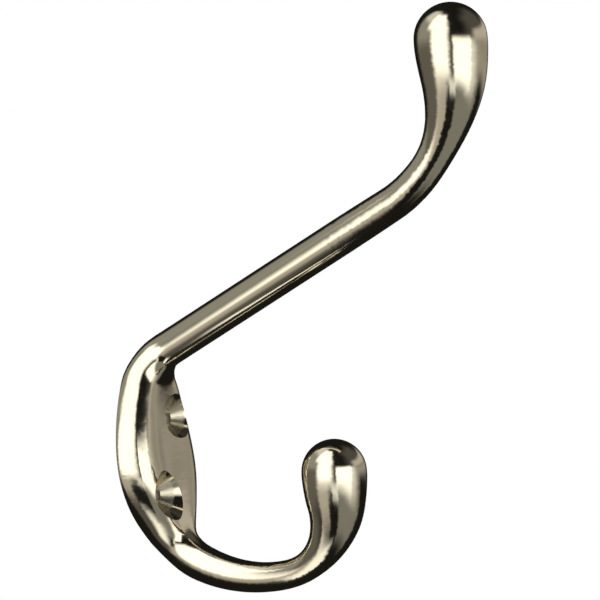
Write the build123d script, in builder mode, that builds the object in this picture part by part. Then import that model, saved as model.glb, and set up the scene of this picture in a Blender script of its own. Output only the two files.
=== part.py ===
from build123d import *
from math import copysign, cos, pi, radians, sin, tan
import os

# All sizes are in millimetres. The wall is the plane Y = 0, the hook reaches out along -Y and Z is up.

# Upper arm, from the wall out to the ball that carries a hat.
upper_reach = 89.6
upper_ball_r = 8.05
upper_ball_run = 6.1
upper_lean = 3.0
upper_taper = 29.0
upper_neck_r = 3.80
neck_bend_r = 32.0
arm_r = 4.05
arm_slope = 22.7
root_bend_r = 9.8

# Lower arm, a J that carries a coat.
lower_reach = 47.6
lower_ball_r = 7.25
lower_ball_run = 6.65
lower_lean = 4.0
lower_taper = 26.0
lower_neck_r = 3.2
lower_root_r = 4.4
tip_bend_r = 16.2
tip_rise = 6.0
heel_bend_r = 15.2
heel_drop = 29.0

# Back of the hook, where the rod spreads into a leaf that lies on the wall.
back_reach = 1.2
back_height = 2.9
back_bend_r = 73.0
back_turn_up = 10.5
back_turn_down = 14.3
leaf_half_width = 13.0
leaf_front = 6.1
leaf_drop = 4.0
leaf_length_up = 28.0
leaf_length_down = 21.5
leaf_squareness = 2.0
leaf_draft = 0.33
leaf_fullness = 1.25
dish_depth = 1.25
dish_margin = 3.6
dish_end_up = 0.82
dish_end_down = 0.86

# Two countersunk holes for number 8 wood screws, set on a diagonal.
screw_hole_r = 2.2
countersink_r = 4.15
countersink_angle = 82
screw_side = 4.2
screw_rise = 8.35
countersink_level = 5.7
cone_run = 3.0
cone_slope = tan(radians(countersink_angle / 2))
countersink_depth = (countersink_r - screw_hole_r) / cone_slope

section_points = 28
dome_angles = (15, 30, 45, 60, 74, 87)
even_steps = [i / section_points for i in range(section_points + 1)]
wall_cut = 60.0
joint_step = 1.2

# The centre line is drawn flat, reach across and height up, from the leaf out to each ball.
root_turn = 90 - back_turn_up - arm_slope
neck_turn = 90 - upper_lean - arm_slope
back_step = back_bend_r * (1 - cos(radians(back_turn_up)))
root_step = root_bend_r * (cos(radians(back_turn_up)) - sin(radians(arm_slope)))
neck_step = neck_bend_r * (cos(radians(upper_lean)) - sin(radians(arm_slope)))
ball_step = upper_ball_run * sin(radians(upper_lean))
arm_length = (upper_reach - back_reach - back_step - root_step - neck_step - ball_step) / cos(radians(arm_slope))

with BuildLine() as upper_path:
    back_up = JernArc((back_reach, back_height), (0, 1), back_bend_r, -back_turn_up)
    root = JernArc(back_up @ 1, back_up % 1, root_bend_r, -root_turn)
    arm = Line(root @ 1, root @ 1 + (root % 1) * arm_length)
    neck = JernArc(arm @ 1, arm % 1, neck_bend_r, neck_turn)
    upper_tip = Line(neck @ 1, neck @ 1 + (neck % 1) * upper_ball_run)

# The long sweep under the J takes up whatever reach the other bends leave.
heel_turn = 90 - back_turn_down - heel_drop
heel_step = heel_bend_r * (cos(radians(back_turn_down)) - sin(radians(heel_drop)))
low_back_step = back_bend_r * (1 - cos(radians(back_turn_down)))
tip_step = tip_bend_r * (cos(radians(lower_lean)) - sin(radians(tip_rise)))
low_ball_step = lower_ball_run * sin(radians(lower_lean))
sweep_step = lower_reach - back_reach - low_back_step - heel_step - tip_step - low_ball_step
sweep_r = sweep_step / (sin(radians(heel_drop)) + sin(radians(tip_rise)))

with BuildLine() as lower_path:
    back_down = JernArc((back_reach, back_height), (0, -1), back_bend_r, back_turn_down)
    heel = JernArc(back_down @ 1, back_down % 1, heel_bend_r, heel_turn)
    sweep = JernArc(heel @ 1, heel % 1, sweep_r, heel_drop + tip_rise)
    tip = JernArc(sweep @ 1, sweep % 1, tip_bend_r, 90 - lower_lean - tip_rise)
    lower_tip = Line(tip @ 1, tip @ 1 + (tip % 1) * lower_ball_run)

upper_length = upper_path.wires()[0].length
lower_length = lower_path.wires()[0].length


def station(path, distance, toward_wall):
    """Plane across the centre line, its Y axis on the inner side of the bends."""
    wire = path.wires()[0]
    point = wire.position_at(distance, PositionMode.LENGTH)
    along = wire.tangent_at(distance, PositionMode.LENGTH) * (-1 if toward_wall else 1)
    return Plane(origin=(0, -point.X, point.Y), x_dir=(1, 0, 0), z_dir=(0, -along.X, along.Y))


def ease(x):
    """Smooth step from 1 at x = 0 to 0 at x = 1."""
    return (1 + cos(pi * min(max(x, 0), 1))) / 2


def upper_radius(distance):
    """Rod radius on the arm, swelling into the ball at its end."""
    from_ball = upper_length - distance
    rod = arm_r + (upper_neck_r - arm_r) * ease(from_ball / upper_taper - 1)
    return rod + (upper_ball_r - rod) * ease(from_ball / upper_taper)


def lower_radius(distance):
    """Rod radius on the J, thinnest under the ball and thicker toward the leaf."""
    from_ball = lower_length - distance
    rod = lower_neck_r + (lower_root_r - lower_neck_r) * ease(distance / lower_length * 2.2 - 0.5)
    return rod + (lower_ball_r - rod) * ease(from_ball / lower_taper)


def leaf_shape(above):
    """How far the rod has spread into the leaf, and the dish depth, at a distance above its widest place."""
    along = above / leaf_length_up if above > 0 else -above / leaf_length_down
    dish_end = dish_end_up if above > 0 else dish_end_down
    spread = max(cos(pi / 2 * min(along, 1)), 0) ** leaf_fullness
    return spread, dish_depth * ease(along / dish_end) ** 0.5


def outline(rod_r, spread, dish):
    """Points round one section: a circle on the rods, a drafted and dished slab on the leaf."""
    half_width = rod_r + (leaf_half_width - rod_r) * spread
    front = rod_r + (leaf_front - rod_r) * spread
    power = 2 / (2 + leaf_squareness * spread)
    dish_half = half_width - leaf_draft * spread * front - dish_margin * spread
    points = []
    for i in range(section_points):
        angle = 2 * pi * i / section_points
        across = copysign(abs(cos(angle)) ** power, cos(angle))
        out = copysign(abs(sin(angle)) ** power, sin(angle))
        height = out * (front if out > 0 else rod_r)
        side = across * (half_width - leaf_draft * spread * max(height, 0))
        if out > 0 and abs(side) < dish_half:
            height -= dish * (1 - (side / dish_half) ** 2) ** 1.5
        points.append((side, height))
    return points


def dome(path, length, ball_r, toward_wall):
    """Sections of the round end of a ball, from its middle out to a tiny flat."""
    middle = station(path, length, False)
    facing = station(path, length, toward_wall)
    rings = []
    for angle in dome_angles:
        centre = middle.origin + middle.z_dir * ball_r * sin(radians(angle))
        ring = Plane(origin=centre, x_dir=facing.x_dir, z_dir=facing.z_dir)
        rings.append((ring, outline(ball_r * cos(radians(angle)), 0, 0)))
    return rings


def upper_section(stop):
    """Section of the upper arm, the root or the upper half of the leaf."""
    spread, dish = leaf_shape(stop + leaf_drop)
    return station(upper_path, stop, True), outline(upper_radius(stop), spread, dish)


def lower_section(stop):
    """Section of the lower half of the leaf, the heel or the J."""
    spread, dish = leaf_shape(leaf_drop - stop)
    return station(lower_path, stop, False), outline(lower_radius(stop), spread, dish)


def skin(sections):
    """Smooth body through a run of sections."""
    with BuildPart() as body:
        for plane, points in sections:
            with BuildSketch(plane):
                with BuildLine():
                    add(Edge.make_spline(points, periodic=True, parameters=even_steps))
                make_face()
        loft()
    return body.part


# Upper ball and neck, from the round end down to the bare arm.
neck_stops = [upper_length - upper_taper * i / 8 for i in range(9)]
neck_stops += [upper_length - upper_taper * (1 + i / 8) for i in range(1, 9)]
neck_stops += [neck_stops[-1] - joint_step]
neck_run = dome(upper_path, upper_length, upper_ball_r, True)[::-1]
neck_run += [upper_section(stop) for stop in neck_stops]

# Straight arm, down to the root bend.
root_end = back_up.length + root.length
arm_end = root_end + root_bend_r / 2
arm_stops = [arm_end + (neck_stops[-1] - arm_end) * i / 4 for i in (3, 2, 1, 0)]
arm_run = [neck_run[-1]] + [upper_section(stop) for stop in arm_stops]

# Root, leaf and heel, along the wall.
heel_end = back_down.length + heel.length
root_stops = [arm_end - joint_step, root_end + root_bend_r / 4, root_end]
root_stops += [back_up.length + root.length * i / 5 for i in (4, 3, 2, 1, 0)]
root_stops += [back_up.length * i / 4 for i in (3, 2, 1, 0)]
heel_stops = [back_down.length * i / 5 for i in range(1, 6)]
heel_stops += [back_down.length + heel.length * i / 4 for i in range(1, 5)]
heel_stops += [heel_end + joint_step, heel_end + 2 * joint_step]
leaf_run = [arm_run[-1]] + [upper_section(stop) for stop in root_stops]
leaf_run += [lower_section(stop) for stop in heel_stops]

# Sweep and tip of the J, out to the lower ball.
taper_start = lower_length - lower_taper
tip_stops = [heel_stops[-1] + joint_step]
tip_stops += [tip_stops[0] + (taper_start - tip_stops[0]) * i / 6 for i in range(1, 6)]
tip_stops += [lower_length - lower_taper * i / 8 for i in range(8, -1, -1)]
tip_run = [leaf_run[-1]] + [lower_section(stop) for stop in tip_stops]
tip_run += dome(lower_path, lower_length, lower_ball_r, False)

neck_body, *other_bodies = [skin(run) for run in (neck_run, arm_run, leaf_run, tip_run)]

with BuildPart() as hook:
    # Neighbouring bodies share their end sections, so they are glued face to face.
    add(neck_body.fuse(*other_bodies, glue=True))

    # Everything behind the wall plane is cut off flat.
    with Locations((0, wall_cut / 2, 0)):
        Box(wall_cut, wall_cut, 3 * wall_cut, mode=Mode.SUBTRACT)

    # The countersink cone runs on past the face so that it opens wherever it meets the dish.
    for sign in (1, -1):
        centre = (sign * screw_side, 0, sign * screw_rise)
        with BuildSketch(Plane(origin=centre, x_dir=(1, 0, 0), z_dir=(0, 0, 1))):
            with BuildLine():
                Polyline(
                    (0, 1),
                    (screw_hole_r, 1),
                    (screw_hole_r, countersink_depth - countersink_level),
                    (countersink_r + cone_run * cone_slope, -countersink_level - cone_run),
                    (0, -countersink_level - cone_run),
                    close=True,
                )
            make_face()
        revolve(axis=Axis(centre, (0, 1, 0)), mode=Mode.SUBTRACT)

hook.part.label = "hook"
os.makedirs("parts", exist_ok=True)
export_step(hook.part, "parts/hook.step")
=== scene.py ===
from math import cos, radians, sin

import bpy
import numpy as np
from mathutils import Matrix, Vector


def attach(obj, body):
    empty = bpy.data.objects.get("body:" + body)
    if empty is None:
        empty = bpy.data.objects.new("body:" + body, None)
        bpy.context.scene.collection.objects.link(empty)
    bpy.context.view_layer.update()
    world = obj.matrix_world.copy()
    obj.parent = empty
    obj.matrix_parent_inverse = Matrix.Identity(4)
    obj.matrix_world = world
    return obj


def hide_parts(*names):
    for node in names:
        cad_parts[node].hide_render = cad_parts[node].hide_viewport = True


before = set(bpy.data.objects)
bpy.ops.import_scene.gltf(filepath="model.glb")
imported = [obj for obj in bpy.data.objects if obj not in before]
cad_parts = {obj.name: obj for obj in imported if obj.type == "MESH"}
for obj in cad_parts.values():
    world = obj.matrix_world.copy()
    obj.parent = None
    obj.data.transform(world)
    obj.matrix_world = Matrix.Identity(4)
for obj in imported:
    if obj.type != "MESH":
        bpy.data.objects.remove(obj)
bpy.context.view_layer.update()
scene = bpy.context.scene
scene.view_settings.view_transform = "Standard"

# The photograph looks along the wall from the hook's front left, level, with the hook turned a little.
VIEW_AZIMUTH = -60
VIEW_ROLL = 7
CAMERA_DISTANCE = 1.2
CAMERA_ASIDE = 0.0343
CAMERA_UP = 0.0354
SENSOR_WIDTH_MM = 36
VIEW_WIDTH = 0.1349

toward = Vector((sin(radians(VIEW_AZIMUTH)), -cos(radians(VIEW_AZIMUTH)), 0))
level_right = Vector((cos(radians(VIEW_AZIMUTH)), sin(radians(VIEW_AZIMUTH)), 0))
level_up = Vector((0, 0, 1))
right = level_right * cos(radians(VIEW_ROLL)) - level_up * sin(radians(VIEW_ROLL))
up = level_right * sin(radians(VIEW_ROLL)) + level_up * cos(radians(VIEW_ROLL))

camera = bpy.data.objects.new("camera", bpy.data.cameras.new("camera"))
scene.collection.objects.link(camera)
place = toward * CAMERA_DISTANCE + right * CAMERA_ASIDE + up * CAMERA_UP
camera.matrix_world = Matrix.Translation(place) @ Matrix((right, up, toward)).transposed().to_4x4()
camera.data.sensor_width = SENSOR_WIDTH_MM
camera.data.lens = SENSOR_WIDTH_MM * CAMERA_DISTANCE / VIEW_WIDTH
scene.camera = camera


def node(tree, kind, **settings):
    """A shader node with its named settings and socket values filled in."""
    made = tree.nodes.new(kind)
    for name, value in settings.items():
        if name in made.inputs:
            made.inputs[name].default_value = value
        else:
            setattr(made, name, value)
    return made


def map_range(tree, from_low, from_high, to_low, to_high):
    """A node that carries one range of values over to another and stops at its ends."""
    made = node(tree, "ShaderNodeMapRange")
    made.inputs["From Min"].default_value = from_low
    made.inputs["From Max"].default_value = from_high
    made.inputs["To Min"].default_value = to_low
    made.inputs["To Max"].default_value = to_high
    return made


def link(tree, source, out, target, into):
    tree.links.new(source.outputs[out], target.inputs[into])


# Polished warm nickel. Noise scales are features per metre, and bump distances are in metres.
NICKEL_LIGHT = (0.80, 0.75, 0.615, 1)
NICKEL_DEEP = (0.75, 0.69, 0.55, 1)
MIXED_COLOUR = 2
DRIFT = {"Scale": 45, "Detail": 3}
HAZE = {"Scale": 260, "Detail": 5, "Roughness": 0.6}
HAZE_LOW = 0.3
HAZE_HIGH = 0.7
ROUGHNESS_LOW = 0.08
ROUGHNESS_HIGH = 0.13
WAVES = {"Scale": 170, "Detail": 1}
WAVE_BUMP = {"Strength": 0.35, "Distance": 0.00006}
GRAIN = {"Scale": 2600, "Detail": 2}
GRAIN_BUMP = {"Strength": 0.10, "Distance": 0.00001}

# The metal is satin in a cylinder round the axis of each screw hole, from the wall out to HOLE_FRONT.
# That takes in the inside of the hole, and also a faint disc round it on the flat back.
HOLE_ROUGHNESS = 0.30
HOLE_FRONT = -0.010
SCREW_SIDE = 0.0042
SCREW_RISE = 0.00835
COUNTERSINK_EDGE = 0.0046
SATIN_FADE = 0.0006


def hole_satin(tree, where, rough, sign):
    """Roughness that rises close to the axis of one screw hole, since a buff doesn't reach inside it."""
    apart = node(tree, "ShaderNodeVectorMath", operation="SUBTRACT")
    apart.inputs[1].default_value = (sign * SCREW_SIDE, 0, sign * SCREW_RISE)
    flat = node(tree, "ShaderNodeVectorMath", operation="MULTIPLY")
    flat.inputs[1].default_value = (1, 0, 1)
    from_axis = node(tree, "ShaderNodeVectorMath", operation="LENGTH")
    inside = map_range(tree, COUNTERSINK_EDGE, COUNTERSINK_EDGE - SATIN_FADE, 0, HOLE_ROUGHNESS)
    parts = node(tree, "ShaderNodeSeparateXYZ")
    behind = node(tree, "ShaderNodeMath", operation="GREATER_THAN")
    behind.inputs[1].default_value = HOLE_FRONT
    near_wall = node(tree, "ShaderNodeMath", operation="MULTIPLY")
    both = node(tree, "ShaderNodeMath", operation="MAXIMUM")
    link(tree, where, "Object", apart, 0)
    link(tree, apart, "Vector", flat, 0)
    link(tree, flat, "Vector", from_axis, 0)
    link(tree, from_axis, "Value", inside, "Value")
    link(tree, where, "Object", parts, "Vector")
    link(tree, parts, "Y", behind, 0)
    link(tree, inside, "Result", near_wall, 0)
    link(tree, behind, "Value", near_wall, 1)
    link(tree, near_wall, "Value", both, 0)
    link(tree, rough, 0, both, 1)
    return both


def nickel():
    """Polished plate over a casting: a soft colour drift, a faint haze and the slight waves of buffing."""
    material = bpy.data.materials.new("polished_nickel")
    material.use_nodes = True
    tree = material.node_tree
    shader = tree.nodes["Principled BSDF"]
    shader.inputs["Metallic"].default_value = 1
    where = node(tree, "ShaderNodeTexCoord")

    drift = node(tree, "ShaderNodeTexNoise", **DRIFT)
    tint = node(tree, "ShaderNodeMix", data_type="RGBA")
    tint.inputs["A"].default_value = NICKEL_LIGHT
    tint.inputs["B"].default_value = NICKEL_DEEP
    link(tree, where, "Object", drift, "Vector")
    link(tree, drift, "Fac", tint, "Factor")
    link(tree, tint, MIXED_COLOUR, shader, "Base Color")

    haze = node(tree, "ShaderNodeTexNoise", **HAZE)
    rough = map_range(tree, HAZE_LOW, HAZE_HIGH, ROUGHNESS_LOW, ROUGHNESS_HIGH)
    link(tree, where, "Object", haze, "Vector")
    link(tree, haze, "Fac", rough, "Value")
    for sign in (1, -1):
        rough = hole_satin(tree, where, rough, sign)
    link(tree, rough, 0, shader, "Roughness")

    waves = node(tree, "ShaderNodeTexNoise", **WAVES)
    grain = node(tree, "ShaderNodeTexNoise", **GRAIN)
    swell = node(tree, "ShaderNodeBump", **WAVE_BUMP)
    fine = node(tree, "ShaderNodeBump", **GRAIN_BUMP)
    link(tree, where, "Object", waves, "Vector")
    link(tree, where, "Object", grain, "Vector")
    link(tree, waves, "Fac", swell, "Height")
    link(tree, grain, "Fac", fine, "Height")
    link(tree, swell, "Normal", fine, "Normal")
    link(tree, fine, "Normal", shader, "Normal")
    return material


# The casting is the CAD mesh, point for point. Only the shading normals of the two arms are evened out
# within each CAD face, because thin triangles near the balls would make the reflections ripple.
CALM_ROUNDS = 6
CALM_REACH = 0.024
SHORTEST_NORMAL = 1e-9


def calm_normals(mesh):
    """Draw each arm normal toward the average of its neighbours, in which the nearest count most."""
    corner_points = np.empty(len(mesh.loops), dtype=int)
    corner_edges = np.empty(len(mesh.loops), dtype=int)
    corner_normals = np.empty(len(mesh.loops) * 3)
    ends = np.empty(len(mesh.edges) * 2, dtype=int)
    places = np.empty(len(mesh.vertices) * 3)
    mesh.loops.foreach_get("vertex_index", corner_points)
    mesh.loops.foreach_get("edge_index", corner_edges)
    mesh.corner_normals.foreach_get("vector", corner_normals)
    mesh.edges.foreach_get("vertices", ends)
    mesh.vertices.foreach_get("co", places)
    ends = ends.reshape(-1, 2)
    places = places.reshape(-1, 3)
    normals = np.zeros_like(places)
    normals[corner_points] = corner_normals.reshape(-1, 3)

    # Points on the edge of a CAD face and points near the wall keep their normals.
    inner = np.ones(len(places), dtype=bool)
    inner[ends[np.bincount(corner_edges, minlength=len(ends)) == 1]] = False
    inner[places[:, 1] > -CALM_REACH] = False
    weight = 1 / np.linalg.norm(places[ends[:, 0]] - places[ends[:, 1]], axis=1)[:, None]
    for _ in range(CALM_ROUNDS):
        total = np.zeros_like(normals)
        np.add.at(total, ends[:, 0], normals[ends[:, 1]] * weight)
        np.add.at(total, ends[:, 1], normals[ends[:, 0]] * weight)
        total /= np.maximum(np.linalg.norm(total, axis=1), SHORTEST_NORMAL)[:, None]
        evened = normals + total
        evened /= np.linalg.norm(evened, axis=1)[:, None]
        normals[inner] = evened[inner]
    mesh.normals_split_custom_set_from_vertices(normals.tolist())


casting_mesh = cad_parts["hook"].data.copy()
casting_mesh.name = "casting"
calm_normals(casting_mesh)
casting_mesh.materials.clear()
casting_mesh.materials.append(nickel())
casting = bpy.data.objects.new("casting", casting_mesh)
casting.matrix_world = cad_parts["hook"].matrix_world
scene.collection.objects.link(casting)
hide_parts("hook")
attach(casting, "root")

# A round light tent, seen only by the metal. Its panels are placed as the camera sees them from the hook:
# degrees to the right of the camera, then degrees above it. Each has a brightness, a tint and a soft edge.
TENT_RADIUS = 0.6
TENT_STEP = 2
TENT_LIFT = 0.03
TENT_DARK = 0.012
CREAM = (1.0, 0.99, 0.93)
TAN = (1.0, 0.93, 0.82)
OLIVE = (0.98, 0.97, 0.86)
PANELS = [
    # left, right, low, high, brightness, tint, soft sides, soft ends
    (-130, -60, -30, 46, 0.14, TAN, 24, 18),
    (-126, -64, 4, 44, 0.32, OLIVE, 22, 16),
    (-126, -60, 46, 78, 0.75, CREAM, 26, 16),
    (-58, -20, -70, -38, 0.10, TAN, 16, 22),
    (-66, -20, -41, -14, 0.50, TAN, 16, 24),
    (-75, -4, 28, 74, 1.70, CREAM, 20, 14),
    (-59, -4, -18, 34, 1.70, CREAM, 20, 16),
    (54, 128, 10, 62, 0.09, TAN, 40, 20),
    (72, 146, 9, 25, 0.54, TAN, 22, 10),
    (76, 144, -3, 9, 0.36, TAN, 22, 10),
    (54, 92, -28, 8, 0.42, TAN, 26, 14),
    (46, 76, -22, 10, 0.95, CREAM, 26, 9),
    (10, 62, -20, 12, 1.70, CREAM, 9, 10),
    (15, 98, -56, -19, 0.24, OLIVE, 14, 20),
    (-8, 15, -26, -17, 0.95, CREAM, 7, 7),
    (-24, 12, -66, -28, 0.01, TAN, 10, 8),
]

# One white card stands upright in front of the heel: how far it is from the hook toward the camera, to
# its right and above it, and its size.
CARD_TOWARD = 0.047
CARD_RIGHT = 0.012
CARD_UP = -0.078
CARD_HALF_WIDTH = 0.030
CARD_HALF_HEIGHT = 0.036
CARD_BRIGHTNESS = 1.3
CARD_STEPS = 12


def soft_step(x):
    x = min(max(x, 0), 1)
    return x * x * (3 - 2 * x)


def panel_share(panel, aside, above):
    """How much of a panel is seen in a direction, from 0 outside it to 1 well inside."""
    left, right_end, low, high, _, _, soft_sides, soft_ends = panel
    across = soft_step(min(aside - left, right_end - aside) / soft_sides + 0.5)
    return across * soft_step(min(above - low, high - above) / soft_ends + 0.5)


def tent_colour(aside, above):
    """Colour of the tent in a direction, with later panels laid over earlier ones."""
    colour = Vector(TAN) * TENT_DARK
    for panel in PANELS:
        colour = colour.lerp(Vector(panel[5]) * panel[4], panel_share(panel, aside, above))
    return colour


def way(aside, above):
    """Direction from the hook, degrees to the right of the camera and degrees above it."""
    level = cos(radians(above))
    ahead = toward * level * cos(radians(aside))
    return ahead + right * level * sin(radians(aside)) + up * sin(radians(above))


def glow_paint():
    """Emission that reads its colour from the mesh and clears where the colour is see-through."""
    material = bpy.data.materials.new("studio_glow")
    material.use_nodes = True
    tree = material.node_tree
    tree.nodes.clear()
    read = node(tree, "ShaderNodeVertexColor", layer_name="glow")
    shine = node(tree, "ShaderNodeEmission")
    clear = node(tree, "ShaderNodeBsdfTransparent")
    edge = node(tree, "ShaderNodeMixShader")
    out = node(tree, "ShaderNodeOutputMaterial")
    link(tree, read, "Color", shine, "Color")
    link(tree, read, "Alpha", edge, 0)
    link(tree, clear, "BSDF", edge, 1)
    link(tree, shine, "Emission", edge, 2)
    link(tree, edge, "Shader", out, "Surface")
    return material


def glowing(name, corners, faces, colours, material):
    """Stage piece that only reflections see."""
    mesh = bpy.data.meshes.new(name)
    mesh.from_pydata(corners, [], faces)
    glow = mesh.color_attributes.new("glow", "FLOAT_COLOR", "POINT")
    for i, colour in enumerate(colours):
        glow.data[i].color = colour
    mesh.materials.append(material)
    piece = bpy.data.objects.new(name, mesh)
    scene.collection.objects.link(piece)
    piece.visible_camera = False
    piece.visible_diffuse = False
    piece.visible_shadow = False


def tent(material):
    """Ball of panels round the hook."""
    corners = []
    colours = []
    columns = 360 // TENT_STEP
    rows = 180 // TENT_STEP
    for row in range(rows + 1):
        above = -90 + TENT_STEP * row
        for column in range(columns):
            aside = -180 + TENT_STEP * column
            corners.append(way(aside, above) * TENT_RADIUS + level_up * TENT_LIFT)
            colours.append((*tent_colour(aside, above), 1))
    faces = []
    for row in range(rows):
        for column in range(columns):
            here = row * columns + column
            after = row * columns + (column + 1) % columns
            faces.append((here, after, after + columns, here + columns))
    glowing("light_tent", corners, faces, colours, material)


def heel_card(material):
    """Card whose white fades out toward its edges."""
    middle = toward * CARD_TOWARD + right * CARD_RIGHT + up * CARD_UP
    white = Vector(CREAM) * CARD_BRIGHTNESS
    corners = []
    colours = []
    for row in range(CARD_STEPS + 1):
        high = 2 * row / CARD_STEPS - 1
        for column in range(CARD_STEPS + 1):
            wide = 2 * column / CARD_STEPS - 1
            corners.append(middle + right * wide * CARD_HALF_WIDTH + up * high * CARD_HALF_HEIGHT)
            colours.append((*white, soft_step(2 - 2 * max(abs(wide), abs(high)))))
    faces = []
    for row in range(CARD_STEPS):
        for column in range(CARD_STEPS):
            here = row * (CARD_STEPS + 1) + column
            faces.append((here, here + 1, here + CARD_STEPS + 2, here + CARD_STEPS + 1))
    glowing("heel_card", corners, faces, colours, material)


glow_material = glow_paint()
tent(glow_material)
heel_card(glow_material)

# Plain pale floor, well below the hook, which hangs clear of it.
FLOOR_LEVEL = -1.60
FLOOR_HALF = 9.0
FLOOR_COLOUR = (0.88, 0.88, 0.87, 1)
FLOOR_ROUGHNESS = 0.7
FLOOR_SIDES = ((-1, -1), (1, -1), (1, 1), (-1, 1))

floor_corners = [(x * FLOOR_HALF, y * FLOOR_HALF, FLOOR_LEVEL) for x, y in FLOOR_SIDES]
floor_mesh = bpy.data.meshes.new("floor")
floor_mesh.from_pydata(floor_corners, [], [(0, 1, 2, 3)])
floor = bpy.data.objects.new("floor", floor_mesh)
scene.collection.objects.link(floor)
floor_paint = bpy.data.materials.new("floor_paint")
floor_paint.use_nodes = True
floor_shader = floor_paint.node_tree.nodes["Principled BSDF"]
floor_shader.inputs["Base Color"].default_value = FLOOR_COLOUR
floor_shader.inputs["Roughness"].default_value = FLOOR_ROUGHNESS
floor_mesh.materials.append(floor_paint)

# Overhead lamp that lights the floor. It is aimed at the hook, and the metal doesn't mirror it.
LAMP_SIZE = 1.2
LAMP_POWER = 18
LAMP_PLACE = (0.3, -0.6, 1.6)

lamp = bpy.data.objects.new("overhead", bpy.data.lights.new("overhead", "AREA"))
lamp.data.shape = "DISK"
lamp.data.size = LAMP_SIZE
lamp.data.energy = LAMP_POWER
lamp.location = LAMP_PLACE
lamp.rotation_euler = (-lamp.location).to_track_quat("-Z", "Y").to_euler()
lamp.visible_glossy = False
scene.collection.objects.link(lamp)

# White all round for the camera and for reflections, softer as a light.
WORLD_COLOUR = (1, 1, 1, 1)
WORLD_AS_LIGHT = 0.8
WORLD_AS_SEEN = 1.0

world = bpy.data.worlds.new("white_room")
scene.world = world
world.use_nodes = True
world_tree = world.node_tree
backdrop = world_tree.nodes["Background"]
backdrop.inputs["Color"].default_value = WORLD_COLOUR
rays = node(world_tree, "ShaderNodeLightPath")
seen = node(world_tree, "ShaderNodeMath", operation="MAXIMUM")
seen_or_through = node(world_tree, "ShaderNodeMath", operation="MAXIMUM")
strength = map_range(world_tree, 0, 1, WORLD_AS_LIGHT, WORLD_AS_SEEN)
link(world_tree, rays, "Is Camera Ray", seen, 0)
link(world_tree, rays, "Is Glossy Ray", seen, 1)
link(world_tree, seen, 0, seen_or_through, 0)
link(world_tree, rays, "Is Transmission Ray", seen_or_through, 1)
link(world_tree, seen_or_through, 0, strength, "Value")
link(world_tree, strength, "Result", backdrop, "Strength")
